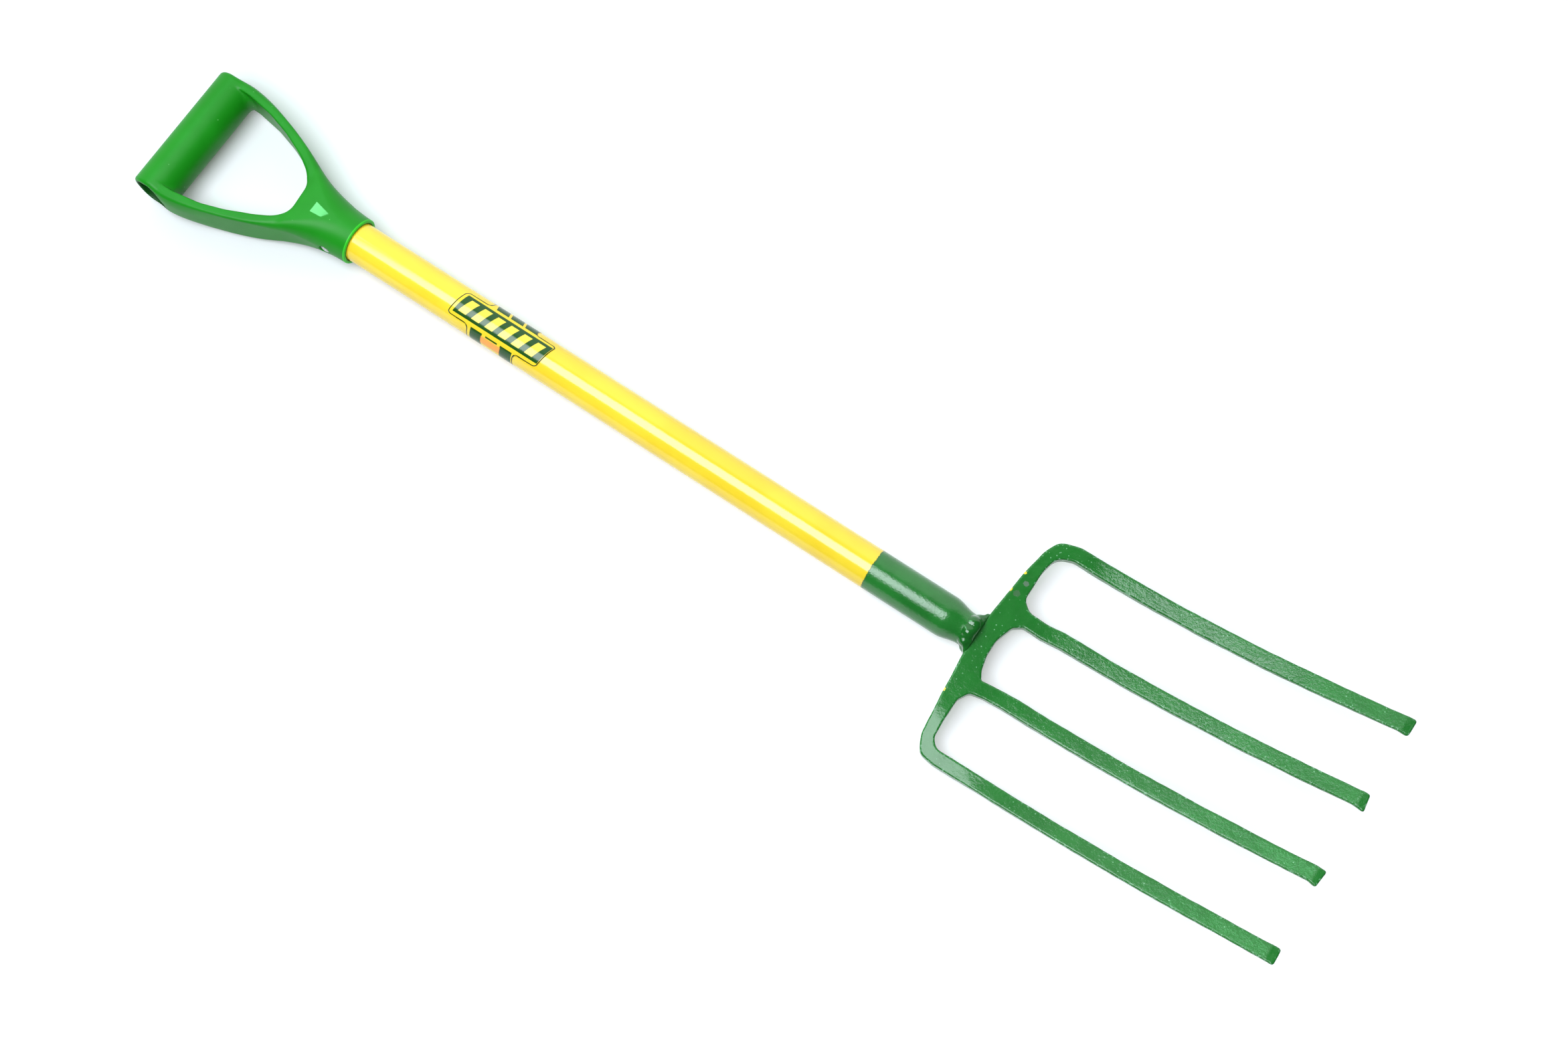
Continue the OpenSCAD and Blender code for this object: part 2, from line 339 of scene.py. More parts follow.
class Nodes:
    """A short way to write a node material."""

    def __init__(self, name):
        self.material = bpy.data.materials.new(name)
        self.material.use_nodes = True
        self.tree = self.material.node_tree
        self.shader = self.tree.nodes["Principled BSDF"]
        place = self.add("ShaderNodeTexCoord").outputs["Object"]
        moved = self.vector("SUBTRACT", place, tuple(ORIGIN))
        self.place = self.vector("SCALE", moved, scale=1 / MM)

    def add(self, kind, **settings):
        node = self.tree.nodes.new(kind)
        for key, value in settings.items():
            setattr(node, key, value)
        return node

    def put(self, socket, value):
        if isinstance(value, bpy.types.NodeSocket):
            self.tree.links.new(value, socket)
        else:
            socket.default_value = value

    def math(self, operation, a, b=0.0, c=0.0):
        node = self.add("ShaderNodeMath", operation=operation)
        for socket, value in zip(node.inputs, (a, b, c)):
            self.put(socket, value)
        return node.outputs[0]

    def vector(self, operation, a, b=(0, 0, 0), scale=1.0):
        node = self.add("ShaderNodeVectorMath", operation=operation)
        self.put(node.inputs[0], a)
        if operation == "SCALE":
            self.put(node.inputs["Scale"], scale)
        else:
            self.put(node.inputs[1], b)
        return node.outputs["Value" if operation in ("LENGTH", "DISTANCE") else "Vector"]

    def split(self, vector):
        node = self.add("ShaderNodeSeparateXYZ")
        self.put(node.inputs[0], vector)
        return node.outputs

    def noise(self, size, detail=2.0, roughness=0.5, stretch=(1, 1, 1)):
        """Noise from 0 to 1 whose bumps are about size millimetres across."""
        node = self.add("ShaderNodeTexNoise")
        self.put(node.inputs["Vector"], self.vector("MULTIPLY", self.place, stretch))
        self.put(node.inputs["Scale"], 1 / size)
        self.put(node.inputs["Detail"], detail)
        self.put(node.inputs["Roughness"], roughness)
        return node.outputs["Fac"]

    def cells(self, size):
        """Distance from the nearest of many scattered points about size millimetres apart."""
        node = self.add("ShaderNodeTexVoronoi", feature="F1")
        self.put(node.inputs["Vector"], self.place)
        self.put(node.inputs["Scale"], 1 / size)
        return node.outputs["Distance"]

    def band(self, value, low, high):
        """Rises smoothly from 0 at low to 1 at high, or falls where low is above high."""
        node = self.add("ShaderNodeMapRange", interpolation_type="SMOOTHSTEP")
        self.put(node.inputs["Value"], value)
        if low < high:
            settings = (low, high, 0.0, 1.0)
        else:
            settings = (high, low, 1.0, 0.0)
        for socket, number in zip(node.inputs[1:5], settings):
            socket.default_value = number
        return node.outputs[0]

    def mix(self, share, a, b):
        node = self.add("ShaderNodeMix", data_type="RGBA")
        self.put(node.inputs["Factor"], share)
        self.put(node.inputs["A"], a if isinstance(a, bpy.types.NodeSocket) else (*a, 1))
        self.put(node.inputs["B"], b if isinstance(b, bpy.types.NodeSocket) else (*b, 1))
        return node.outputs["Result"]

    def blend(self, share, a, b):
        """Mixes two numbers."""
        node = self.add("ShaderNodeMix", data_type="FLOAT")
        self.put(node.inputs["Factor"], share)
        self.put(node.inputs["A"], a)
        self.put(node.inputs["B"], b)
        return node.outputs["Result"]

    def bump(self, height, distance_mm, strength=1.0, after=None):
        node = self.add("ShaderNodeBump")
        self.put(node.inputs["Height"], height)
        self.put(node.inputs["Distance"], distance_mm * MM)
        self.put(node.inputs["Strength"], strength)
        if after is not None:
            self.put(node.inputs["Normal"], after)
        return node.outputs["Normal"]

    def spot(self, centre, radius, ragged=0.35):
        """1 inside a ragged spot round a point given in millimetres, 0 outside."""
        away = self.vector("DISTANCE", self.place, centre)
        edge = self.math("MULTIPLY_ADD", self.noise(1.6, 3), 2 * ragged * radius, away)
        return self.band(edge, radius * (1 + ragged) + 0.25, radius * (1 + ragged) - 0.25)

    def finish(self, **inputs):
        for name, value in inputs.items():
            self.put(self.shader.inputs[name.replace("_", " ")], value)
        return self.material


# ---- Materials ----

HANDLE_GREEN = (0.007, 0.212, 0.006)
HANDLE_GREEN_DEEP = (0.005, 0.188, 0.004)
HANDLE_NICK = (0.22, 0.6, 0.2)
HANDLE_SHADE = (0.003, 0.06, 0.004)
HANDLE_RIM_PAINTED_LIGHT = (0.035, 0.5, 0.02)
YELLOW = (0.8, 0.57, 0.03)
YELLOW_DEEP = (0.78, 0.53, 0.023)
YELLOW_DIRT = (0.72, 0.42, 0.05)
YELLOW_FLECK = (0.75, 0.55, 0.03)
PAINT_GREEN = (0.010, 0.13, 0.015)
PAINT_GREEN_LIGHT = (0.014, 0.155, 0.02)
PAINT_GREEN_DEEP = (0.005, 0.08, 0.008)
PAINT_EDGE = (0.02, 0.1, 0.015)
PAINT_GLINT_GREEN = (0.24, 0.5, 0.28)
PAINT_WEAR_AND_GLINT = (0.22, 0.44, 0.26)
PAINT_FADED = (0.06, 0.13, 0.06)
BARE_STEEL = (0.12, 0.17, 0.12)
RIVET_BRIGHT = (0.62, 0.63, 0.62)
RIVET_DULL = (0.36, 0.37, 0.36)
RIVET_EDGE_SHADE = (0.06, 0.07, 0.05)
PRINT_GREEN = (0.008, 0.055, 0.006)
PRINT_GREEN_LIGHT = (0.012, 0.07, 0.009)
PRINT_BAR = (0.82, 0.6, 0.06)
PRINT_ORANGE = (0.85, 0.25, 0.05)
PRINT_LINE = (0.008, 0.03, 0.004)
FLOOR_PALE = (0.57, 0.56, 0.57)
FLOOR_PALER = (0.59, 0.58, 0.59)

# Marks on the crossbar: places in millimetres, and a radius for each fleck.
BARE_SPOT = (737.2, 51.3, BAR_TOP)
FADED_PATCH = (735.3, 41.3, BAR_TOP)
YELLOW_FLECKS = (
    ((729.6, 42, 5), 1.7),
    ((732.3, 58, 5), 1.2),
    ((728.9, -47.5, 5), 1.5),
    ((731.4, 61, 5), 0.9),
)


def worn_patch(m, x, y, z):
    """1 in the polished patch on top of the yoke, 0 outside, with a side drawn by each band."""
    along = m.math("SUBTRACT", x, WORN_X)
    share = m.band(z, 15, 17)
    for edge in (
        m.band(along, -1.4, -0.6),
        m.band(m.math("MULTIPLY_ADD", y, -0.685, along), 13.4, 11.4),
        m.band(m.math("MULTIPLY_ADD", along, -0.055, y), -5.1, -4.4),
        m.band(m.math("MULTIPLY_ADD", along, 0.23, y), 4.7, 4.0),
    ):
        share = m.math("MULTIPLY", share, edge)
    return share


def handle_plastic():
    m = Nodes("green_polypropylene")
    x, y, z = m.split(m.place)
    colour = m.mix(m.band(m.noise(28, 3), 0.3, 0.7), HANDLE_GREEN, HANDLE_GREEN_DEEP)
    nicks = m.math("MULTIPLY", m.band(m.cells(7.5), 0.075, 0.03), m.band(m.noise(16, 1), 0.5, 0.6))
    colour = m.mix(m.math("MULTIPLY", nicks, 0.55), colour, HANDLE_NICK)
    off_grip = m.vector("LENGTH", m.vector("MULTIPLY", m.place, (1, 0, 1)))
    colour = m.mix(m.band(off_grip, BORE_R + 1.2, BORE_R + 0.2), colour, HANDLE_SHADE)
    # Painted light: the socket's rim is coloured lighter to stand in for light falling on its
    # rounded lip.
    rim = m.band(x, SOCKET_END - 1.7, SOCKET_END - 1.0)
    colour = m.mix(rim, colour, HANDLE_RIM_PAINTED_LIGHT)
    off_shaft = m.vector("LENGTH", m.vector("MULTIPLY", m.place, (0, 1, 1)))
    mouth = m.math("MULTIPLY", rim, m.band(off_shaft, TUBE_R + 1.3, TUBE_R + 0.5))
    colour = m.mix(mouth, colour, HANDLE_SHADE)
    scuff = m.band(m.noise(9, 5, 0.75, stretch=(1, 3.5, 1)), 0.6, 0.78)
    satin = m.math("MULTIPLY_ADD", scuff, 0.1, 0.42)
    polished = worn_patch(m, x, y, z)
    rough = m.blend(polished, satin, 0.09)
    shine = m.blend(polished, 0.24, 0.55)
    grain = m.bump(m.noise(0.45, 2), 0.02, 0.35)
    sag = m.bump(m.noise(14, 1), 0.25, 0.3, grain)
    return m.finish(Base_Color=colour, Roughness=rough, Normal=sag, Specular_IOR_Level=shine)


def tube_paint():
    m = Nodes("gloss_yellow_and_green_paint")
    x = m.split(m.place)["X"]
    wander = m.math("MULTIPLY_ADD", m.noise(3.2, 3), 2.2, m.math("SUBTRACT", x, PAINT_LINE + 1.1))
    green = m.band(wander, -0.12, 0.12)
    line = m.math("MULTIPLY", m.band(wander, -0.5, 0.0), m.band(wander, 1.1, 0.4))
    yellow = m.mix(m.band(m.noise(40, 2), 0.35, 0.65), YELLOW, YELLOW_DEEP)
    dirt = m.band(m.noise(11, 6, 0.72, stretch=(0.35, 1.4, 1.4)), 0.63, 0.74)
    yellow = m.mix(m.math("MULTIPLY", dirt, 0.12), yellow, YELLOW_DIRT)
    greens = m.mix(m.band(m.noise(18, 3), 0.35, 0.65), PAINT_GREEN, PAINT_GREEN_LIGHT)
    colour = m.mix(green, yellow, greens)
    colour = m.mix(m.math("MULTIPLY", line, 0.8), colour, PAINT_EDGE)
    peel_height = m.blend(green, 0.25, 1.5)
    peel = m.bump(m.math("MULTIPLY", m.noise(1.9, 3, 0.6), peel_height), 0.16, 0.8)
    rough = m.blend(green, 0.16, 0.2)
    return m.finish(Base_Color=colour, Roughness=rough, Normal=peel, Specular_IOR_Level=0.65)


def head_paint():
    m = Nodes("green_paint_on_forged_steel")
    place = m.split(m.place)
    x, y = place["X"], place["Y"]
    colour = m.mix(m.band(m.noise(22, 4), 0.3, 0.7), PAINT_GREEN, PAINT_GREEN_LIGHT)
    # Painted highlight: small bright glints scattered over parts of the head.
    dots = m.band(m.cells(3.2), 0.19, 0.08)
    painted_glints = m.math("MULTIPLY", dots, m.band(m.noise(15, 2), 0.46, 0.58))
    colour = m.mix(m.math("MULTIPLY", painted_glints, 0.7), colour, PAINT_GLINT_GREEN)
    inward = m.add("ShaderNodeAttribute", attribute_name="inward").outputs["Fac"]
    # Paint rubbed thin near the edges, lightened further as a painted highlight along them.
    patchy = m.band(m.noise(2.4, 4, 0.7), 0.54, 0.66)
    wear_and_glints = m.math("MULTIPLY", m.band(inward, 1.8, 0.7), patchy)
    colour = m.mix(m.math("MULTIPLY", wear_and_glints, 0.8), colour, PAINT_WEAR_AND_GLINT)
    faded = m.math("MULTIPLY", m.spot(FADED_PATCH, 2.6, 0.5), 0.75)
    colour = m.mix(faded, colour, PAINT_FADED)
    bare = m.math("MULTIPLY", m.spot(BARE_SPOT, 2.1, 0.45), 0.8)
    colour = m.mix(bare, colour, BARE_STEEL)
    for at, radius in YELLOW_FLECKS:
        colour = m.mix(m.spot(at, radius), colour, YELLOW_FLECK)
    on_tines = m.band(x, 748, 790)
    forging = m.bump(m.noise(8, 3, 0.6), 0.7, 0.3)
    upper = m.band(y, 0, 12)
    depth = m.blend(on_tines, m.blend(upper, 0.34, 0.22), m.blend(upper, 0.55, 1.0))
    beaten = m.math("MULTIPLY", m.noise(2.3, 3, 0.62), depth)
    hammer = m.bump(beaten, 0.5, 0.9, forging)
    rough = m.math("MULTIPLY_ADD", m.noise(5, 2), 0.1, 0.15)
    return m.finish(Base_Color=colour, Roughness=rough, Normal=hammer, Specular_IOR_Level=0.45)


def weld_paint():
    m = Nodes("thick_gloss_paint_on_weld")
    colour = m.mix(m.noise(2.5, 3), PAINT_GREEN_DEEP, PAINT_GREEN)
    lumps = m.bump(m.noise(2.2, 2), 0.4, 0.5)
    return m.finish(Base_Color=colour, Roughness=0.14, Normal=lumps, Coat_Weight=0.3)


def rivet_steel():
    m = Nodes("bright_rivet_steel")
    away = m.vector("DISTANCE", m.vector("MULTIPLY", m.place, (1, 0, 1)), (RIVET_X, 0, 0))
    # Painted shade: the outer edge of each head is darkened where it curves down into its recess.
    rim = m.band(away, RIVET_HEAD_R - 1.1, RIVET_HEAD_R - 0.3)
    colour = m.mix(m.band(m.noise(1.2, 4), 0.35, 0.7), RIVET_BRIGHT, RIVET_DULL)
    colour = m.mix(m.math("MULTIPLY", rim, 0.75), colour, RIVET_EDGE_SHADE)
    dents = m.bump(m.noise(1.1, 3), 0.25, 0.5)
    rough = m.math("MULTIPLY_ADD", m.noise(0.8, 2), 0.25, 0.22)
    return m.finish(Base_Color=colour, Roughness=rough, Normal=dents, Metallic=1.0)


# Plain blocks printed on the label: from and to along the tube, from and to round it, and a slant.
PRINTED_PANEL = [(263.0, 342.0, -9.5, 8.0, LABEL_SLANT)]
PRINTED_BARS = [(x0, x0 + 7.2, -7, 5.4, 0.4) for x0 in np.arange(267.5, 334, 12.4)]
PRINTED_PATCH = [(290, 308, -22.4, -14.9, 0)]
PRINTED_BLOCKS = [(x0, x0 + 11.2, 10.7, 40, -0.3) for x0 in (284.6, 297.9, 311.2)] + [
    (280, 290.6, -40, -12.7, 0),
    (307.6, 318.6, -40, -13, 0),
    (293.8, 304.8, -14.3, -12.9, 0),
]


def printed(m, x, around, blocks):
    """1 on the blocks and 0 off them, with around measured in millimetres round the tube."""
    nearest = None
    for x0, x1, s0, s1, slant in blocks:
        middle = m.math("MULTIPLY_ADD", around, slant, (x0 + x1) / 2 - slant * (s0 + s1) / 2)
        dx = m.math("ABSOLUTE", m.math("SUBTRACT", x, middle))
        ds = m.math("ABSOLUTE", m.math("SUBTRACT", around, (s0 + s1) / 2))
        dx = m.math("SUBTRACT", dx, (x1 - x0) / 2)
        ds = m.math("SUBTRACT", ds, (s1 - s0) / 2)
        away = m.math("MAXIMUM", dx, ds)
        nearest = away if nearest is None else m.math("MINIMUM", nearest, away)
    return m.band(nearest, 0.12, -0.12)


def label_film():
    """A keyline round a dark panel, with plain slanted bars and blocks, and no lettering."""
    m = Nodes("printed_label_film")
    x, y, z = m.split(m.place)
    around = m.math("MULTIPLY", m.math("ARCTAN2", y, z), TUBE_R)
    edge = m.add("ShaderNodeAttribute", attribute_name="edge").outputs["Fac"]
    green = m.mix(m.noise(12, 2), PRINT_GREEN, PRINT_GREEN_LIGHT)
    colour = m.mix(m.noise(20, 2), YELLOW, YELLOW_DEEP)
    colour = m.mix(printed(m, x, around, PRINTED_PANEL), colour, green)
    colour = m.mix(printed(m, x, around, PRINTED_BLOCKS), colour, green)
    colour = m.mix(printed(m, x, around, PRINTED_BARS), colour, PRINT_BAR)
    patch = m.math("MULTIPLY", printed(m, x, around, PRINTED_PATCH), 0.75)
    colour = m.mix(patch, colour, PRINT_ORANGE)
    keyline = m.math("MULTIPLY", m.band(edge, 0.12, 0.24), m.band(edge, 1.02, 0.9))
    colour = m.mix(keyline, colour, PRINT_LINE)
    bubbles = m.bump(m.noise(9, 2), 0.15, 0.3)
    return m.finish(Base_Color=colour, Roughness=0.17, Normal=bubbles, Specular_IOR_Level=0.45)


# ---- D-handle ----


def handle_field():
    """The moulded handle: a hollow grip, two strap arms, a yoke and a socket."""
    # Half the width across the arms, the yoke and the socket.
    width = profile([
        (-20, 55.0), (-12, 56.1), (0, 57.6), (9, 58.5), (16, 58.9), (24, 58.1), (36, 55.6),
        (50, 51.3), (60, 47.8), (70, 44.3), (82, 39.8), (90, 36.5), (100, 32.2), (110, 27.9),
        (118, 25.1), (126, 23.2), (134, 21.8), (143, 20.6), (150, SOCKET_R + 0.4),
        (157, SOCKET_R), (170, SOCKET_R),
    ])
    # How far the outer faces lean in at their top and bottom edges.
    crown = profile([
        (-20, 0.3), (-6, 0.9), (6, 2.3), (17, 3.3), (32, 2.9), (50, 1.3), (64, 0.3), (80, 0),
        (170, 0),
    ])
    # How round those edges are, up to the round socket.
    edge_r = profile([
        (-20, 2.4), (10, 2.2), (70, 2.0), (90, 3), (104, 6), (118, 11), (130, 16), (142, 19),
        (170, 19.3),
    ])
    # The hand opening, out along the far arm and back along the near one.
    far_side = [
        (-12, 48.8, 0), (20, 48.5, 24), (44, 44.6, 40), (64, 38.6, 60), (84, 30.1, 60),
        (97, 21.8, 30), (105, 12, 14),
    ]
    near_side = [
        (107.2, -12, 14), (99, -22, 30), (84, -30.4, 60), (64, -39.1, 60), (44, -45.5, 40),
        (20, -49.2, 24), (-12, -49.3, 0),
    ]
    opening = Plan(rounded_outline(far_side + near_side), margin=40)

    def field(x, y, z):
        wide, slope = width(x)
        climb = np.clip((x - 103) / 33, 0, 1)
        climb = (1 - (1 - climb) ** 2) * smoothstep(x, 99, 109)
        high = ARM_HALF_HEIGHT + (SOCKET_R - ARM_HALF_HEIGHT) * climb
        warp = GRIP_WARP * (1 - smoothstep(x, 15, 60))
        lean = crown(x)[0] * (np.abs(z) / ARM_HALF_HEIGHT) ** 3.5
        across = np.abs(y + warp) - wide + lean
        across = across / np.sqrt(1 + slope**2)
        strap = np.maximum(np.abs(z) - high, -x)
        gap = -opening(x, y)
        arms = round_max(strap, gap, 1.1 + 1.6 * smoothstep(x, 74, 100))
        grip = np.hypot(x - GRIP_SHIFT, z) - GRIP_R
        fillet = 1.6 + 5.5 * (1 - smoothstep(np.abs(z), 7, 15.5))
        solid = smooth_min(grip, arms, fillet)
        radius = edge_r(x)[0]
        solid = round_max(solid, across, radius)
        solid = round_max(solid, x - SOCKET_END, 1.1)
        solid = smooth_max(solid, BORE_R - np.hypot(x, z), 0.9)
        around = np.hypot(y, z)
        bore = np.maximum(around - (TUBE_R + 0.12), SOCKET_FLOOR - x)
        solid = smooth_max(solid, -bore, 0.5)
        across_pin = np.hypot(x - RIVET_X, z)
        seat = np.maximum(across_pin - (RIVET_HEAD_R + 0.35), SEAT_R - np.abs(y))
        return np.maximum(np.maximum(solid, -seat), 2.6 - across_pin)

    return field


def make_handle():
    low = handle_low - MESH_MARGIN
    high = handle_high + MESH_MARGIN
    points, faces = surface_net(handle_field(), low, high, MOULDING_CELL)
    add_piece("d_handle_moulding", points, faces, handle_plastic(), "d_handle")


# ---- Rivet ----


def make_rivet():
    """A pin through the socket, with a domed head on each side."""
    dome = [
        (
            SEAT_R + (RIVET_TOP - SEAT_R) * math.cos(t) ** 0.8,
            RIVET_HEAD_R * math.sin(t) ** 0.9,
        )
        for t in np.linspace(math.radians(4), math.radians(90), 12)
    ]
    half = [*dome, (SEAT_R, RIVET_HEAD_R - 0.1), (SEAT_R, 2.8), (SEAT_R - 0.3, 2.5)]
    outline = half + [(-along, radius) for along, radius in reversed(half)]
    outline = [(RIVET_TOP, 0.02)] + outline + [(-RIVET_TOP, 0.02)]
    points, faces = lathe(outline, 40, "y", (RIVET_X, 0, 0))
    add_piece("handle_rivet_pin", points, faces, rivet_steel(), "handle_rivet")


# ---- Tube ----


def tube_radius(x):
    """Outer radius of the tube, which narrows smoothly at its lower end."""
    u = np.clip((x - SWAGE_X) / SWAGE_LEN, 0, 1)
    return TUBE_R - (TUBE_R - NECK_R) * (1 - math.cos(math.pi * u)) / 2


def make_tube():
    straight = np.linspace(SOCKET_FLOOR, SWAGE_X - 2, 60)
    swage = np.linspace(SWAGE_X, TUBE_END, 30)
    outside = [(x, tube_radius(x)) for x in (*straight, *swage)]
    inside = [(x, radius - TUBE_WALL) for x, radius in reversed(outside)]
    points, faces = lathe(outside + inside, 144)
    add_piece("shaft_tube_painted", points, faces, tube_paint(), "shaft_tube")


# ---- Head ----


def head_outline():
    """The head in plan: crossbar, four tines and the three gaps, corner by corner."""
    flare = TIP_X - 8.5
    upper = [
        (725.6, 0, 0), (727.8, 22, 60), (731.2, 57, 60), (735.6, 80, 30), (741, 92.2, 12),
        (757, 97.2, 18), (flare, 97.3, 8), (TIP_X + 0.2, 97.7, 2.2), (TIP_X - 0.4, 84.3, 2.2),
        (flare, 85.1, 8), (758, 85.3, 14), (745.6, 80.4, 13), (742.6, 66, 40), (742.8, 41, 8),
        (750.5, 34.6, 11), (768, 34.6, 14), (780, 36, 20), (flare, 36, 8),
        (TIP_X - 1.6, 36.2, 2), (TIP_X + 0.2, 22.8, 1.8), (flare, 24.2, 8), (784, 24.2, 20),
        (768, 22.6, 14), (753, 22.8, 5), (746.4, 18, 6), (741.8, 4, 24),
    ]
    lower = [
        (742, -10, 26), (744.6, -21, 20), (748.4, -27.4, 2.2), (757, -26.2, 10),
        (778, -24.4, 20), (flare, -24.3, 8), (TIP_X - 0.6, -24.6, 2), (TIP_X - 2, -38, 1.8),
        (flare, -36.5, 8), (772, -36.6, 20), (757, -37.8, 12), (746.3, -40, 6),
        (741.4, -48.5, 8), (741.3, -66, 40), (742.2, -81, 8), (748, -86.6, 9), (762, -86, 14),
        (flare, -85.6, 8), (TIP_X - 0.2, -85.2, 2), (TIP_X, -97.9, 2.2), (flare, -97.4, 8),
        (752, -97.4, 12), (739.6, -95.6, 9), (732.8, -84, 22), (729.4, -50, 60),
        (726.8, -20, 60),
    ]
    outline = rounded_outline(upper + lower)
    outline[:, 1] -= 0.35 * smoothstep(outline[:, 0], 745, 775)
    return outline


def head_rise(x):
    """Height of the upper face above the crossbar."""
    t = np.maximum(0, (x - TINE_START) / (TIP_X - TINE_START))
    return TINE_RISE * t * t * (1.16 - 0.16 * t)


def head_field(plan):
    """The head laid flat: z is measured down from its upper face, so the tines are straight."""

    def field(x, y, z):
        t = np.clip((x - TINE_START) / (TIP_X - TINE_START), 0, 1)
        thick = BAR_THICK - 5.4 * t**0.7
        drop = smooth_max(CHISEL_SLOPE * (x - (TIP_X - CHISEL_LENGTH)), 0 * x, 0.5)
        edge = plan(x, y) + 0.16 * waves(x, y, 0, 17, 3) + 0.13 * waves(x, y, z, 5, 9)
        top = -drop - 0.12 * waves(x, y, 0, 26, 5) - 0.05 * waves(x, y, z, 4, 11)
        middle, half = (top - thick) / 2, (top + thick) / 2
        bottom_r = np.minimum(3.2, 0.85 * half)
        r = np.where(z > middle, 1.0, bottom_r)
        return round_max(edge, np.abs(z - middle) - half, r)

    return field


def tine_twist(x, y):
    """The forging isn't quite true: three of the tines are rolled a little about their length."""
    length = smoothstep(x, 758, 796) * (1 - smoothstep(x, 915, 985))
    outer = smoothstep(y, 50, 70)
    inner = smoothstep(y, 5, 15) * (1 - outer)
    lowest = smoothstep(x, 770, 800) * smoothstep(-y, 50, 70)
    upper = outer * OUTER_ROLL * (y - OUTER_TINE_Y) + inner * INNER_ROLL * (y - INNER_TINE_Y)
    return length * upper - lowest * LOWEST_ROLL * (y + OUTER_TINE_Y)


def corner_droop(x, y):
    """The near corner of the crossbar is bent down a little."""
    outward = 0.17 * smooth_max(-68 - y, 0 * y, 6) + 0.12 * smooth_max(752 - x, 0 * x, 4)
    return outward * (1 - smoothstep(x, 752, 800)) * smoothstep(-y, 56, 84)


def make_head(material):
    behind_bar = 722
    low = (behind_bar, head_low[1] - MESH_MARGIN, -BAR_THICK - 2.5)
    high = (TIP_X + MESH_MARGIN, head_high[1] + MESH_MARGIN, MESH_MARGIN)
    plan = Plan(head_outline())
    points, faces = surface_net(head_field(plan), low, high, MOULDING_CELL)
    x, y, z = points.T
    inward = -plan(x, y)
    points[:, 2] += BAR_TOP + head_rise(x) + tine_twist(x, y) - corner_droop(x, y)
    points[:, :2] = np.clip(points[:, :2], head_low[:2], head_high[:2])
    piece = add_piece("fork_head_forging", points, faces, material, "fork_head")
    add_values(piece, "inward", inward)


def make_spigot(material):
    """The hidden end of the head, inside the tube."""
    r = NECK_R - TUBE_WALL - 0.15
    start = head_low[0]
    outline = [
        (start, 0.02), (start, SPIGOT_PIN_R - 1), (start + 0.8, SPIGOT_PIN_R),
        (start + 6, SPIGOT_PIN_R), (start + 6.6, r - 0.8), (start + 7.4, r),
        (TUBE_END - 1, r), (TUBE_END - 0.5, SPIGOT_PIN_R), (TUBE_END + 4, SPIGOT_PIN_R),
        (TUBE_END + 4, 0.02),
    ]
    points, faces = lathe(outline, 48)
    add_piece("fork_head_spigot", points, faces, material, "fork_head")


# ---- Weld ----


def weld_field():
    """Weld metal round the neck, run out into the corners against the crossbar."""
    # Where each lump is, and its radius. The last two fill the corners.
    lumps = (
        (721.2, 5.0, 8.8, 4.9), (721.6, -3.4, 9.3, 4.6), (721.6, -9.4, 5.6, 4.0),
        (723.2, 10.2, 4.2, 3.2), (724, 12.6, -1.5, 2.6), (724, -12.6, -1.5, 2.6),
    )
    tube_hole, pin_hole = 11.6, 4.8

    def field(x, y, z):
        around = np.hypot(y, z)
        collar = NECK_R - 0.15 + 0.45 * smoothstep(x, 720.5, 723.5)
        neck = np.maximum(round_max(around - collar, x - 727.9, 4.5), 716 - x)
        bar = np.maximum(726.0 - x, np.abs(z - 0.3) - 4.6)
        weld = smooth_min(neck, bar, 8)
        weld = smooth_max(weld, np.abs(y) - 17.8, 2.0)
        for lx, ly, lz, r in lumps:
            ball = np.sqrt((x - lx) ** 2 + (y - ly) ** 2 + (z - lz) ** 2) - r
            weld = smooth_min(weld, ball, 2.2)
        weld = weld + 0.16 * waves(x, y, z, 5.4, 33)
        weld = smooth_max(weld, x - 727.8, 0.6)
        hole = np.maximum(around - tube_hole, x - TUBE_END - 0.1)
        hole = np.minimum(hole, around - pin_hole)
        return np.maximum(weld, -hole)

    return field


def make_weld():
    low, high = (712, -21, -17), (730, 21, 17)
    points, faces = surface_net(weld_field(), low, high, WELD_CELL)
    add_piece("weld_bead_metal", points, faces, weld_paint(), "weld_bead")


# ---- Label ----


def label_shape():
    """Signed distance to the film's cut edge: a slanted panel with a wing above and a wing below."""
    low, high = label_low[0], label_high[0]
    lean = 11 * LABEL_SLANT
    panel = (low + lean, high - lean, -13.1, 10.9, LABEL_SLANT)
    upper, lower = (283.5, 325.5, 2, 33.5, 0), (276.7, 320.3, -29.5, -4, 0)
    corner = 3.6

    def box(x, s, x0, x1, s0, s1, slant):
        dx = np.abs(x - slant * s - (x0 + x1) / 2) - (x1 - x0) / 2 + corner
        ds = np.abs(s - (s0 + s1) / 2) - (s1 - s0) / 2 + corner
        outside = np.hypot(np.maximum(dx, 0), np.maximum(ds, 0))
        return outside + np.minimum(np.maximum(dx, ds), 0) - corner

    def shape(x, s):
        wings = np.minimum(box(x, s, *upper), box(x, s, *lower))
        return smooth_min(box(x, s, *panel), wings, 5.0)

    return shape


